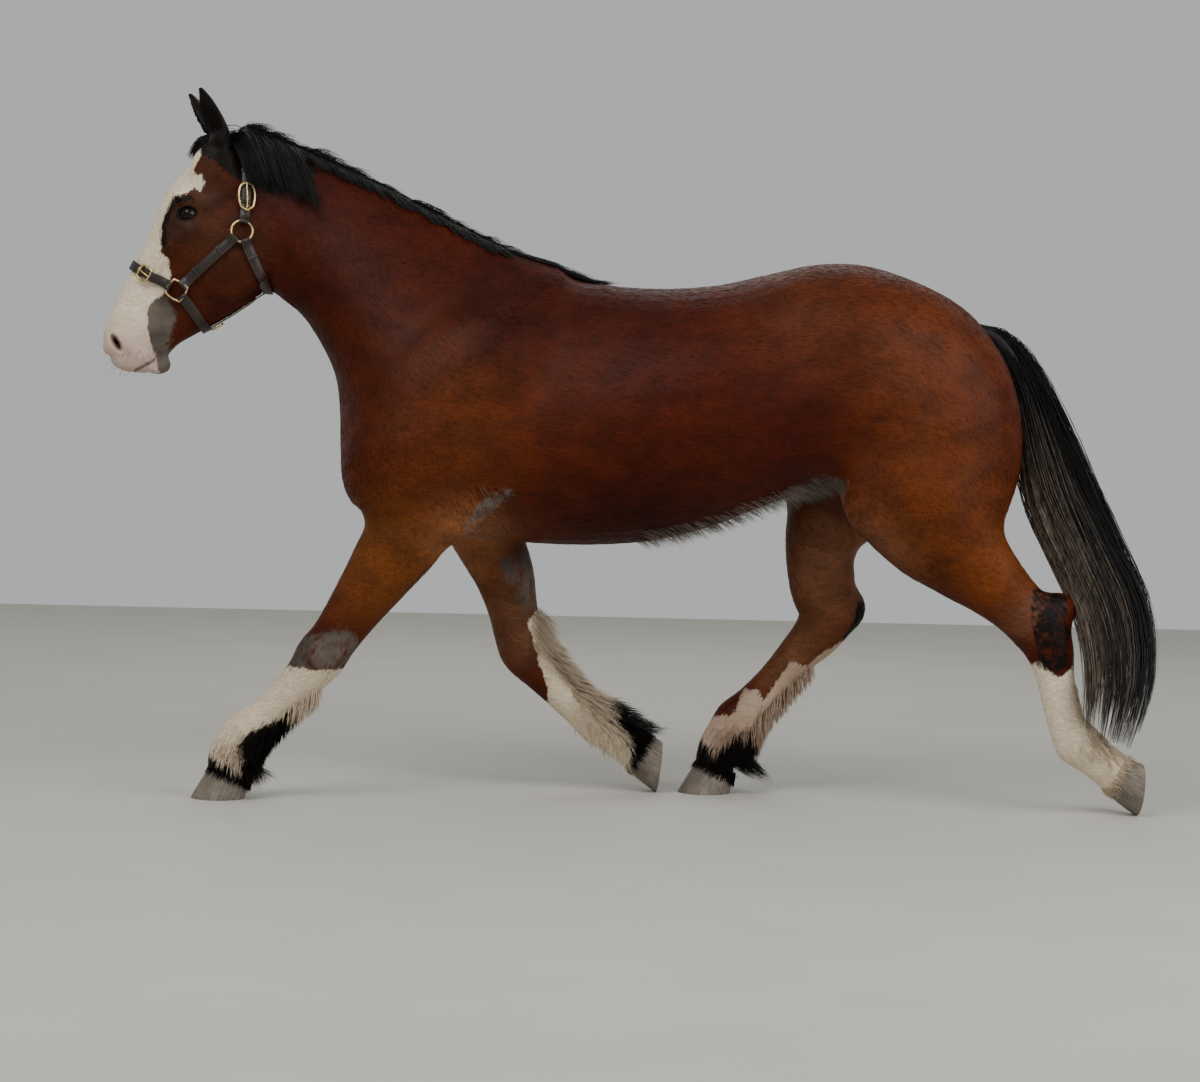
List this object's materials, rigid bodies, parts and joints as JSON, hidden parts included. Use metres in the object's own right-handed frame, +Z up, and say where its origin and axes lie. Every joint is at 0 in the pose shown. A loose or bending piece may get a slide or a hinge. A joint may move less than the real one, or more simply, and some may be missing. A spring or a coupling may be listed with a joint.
{
  "type": "cob horse",
  "caption": "Life-size still model of a bay cob horse at the trot, with a white face and legs, feathered fetlocks, a short dark mane and a leather headcollar.",
  "frame": {"origin": "middle of the bounding box in plan, on the floor under the hooves", "axes": "+X from the nose to the tail, -Y towards the horse's left side, +Z up"},
  "size_m": [2.6121, 0.6217, 1.742],
  "materials": {
    "coat": "satin",
    "points": "satin",
    "white_leg": "matte",
    "horn": "satin",
    "eye": "gloss",
    "leather": "satin",
    "brass": "polished"
  },
  "bodies": {
    "root": {"buckle_crown": "brass", "buckle_nose": "brass", "ear_left": "points", "ear_right": "points", "eye_left": "eye", "eye_right": "eye", "forehoof_left": "horn", "forehoof_right": "horn", "foreleg_left_lower": "white_leg", "foreleg_left_upper": "coat", "foreleg_right_lower": "white_leg", "foreleg_right_upper": "coat", "halter_cheek_left": "leather", "halter_cheek_right": "leather", "halter_chin": "leather", "halter_crown": "leather", "halter_nose": "leather", "halter_throat": "leather", "head": "coat", "hindhoof_left": "horn", "hindhoof_right": "horn", "hindleg_left_lower": "white_leg", "hindleg_left_upper": "coat", "hindleg_right_lower": "points", "hindleg_right_upper": "coat", "neck": "coat", "ring_cheek_left": "brass", "ring_cheek_right": "brass", "ring_nose_left": "brass", "ring_nose_right": "brass", "tail": "points", "torso": "coat"}
  },
  "joints": []
}
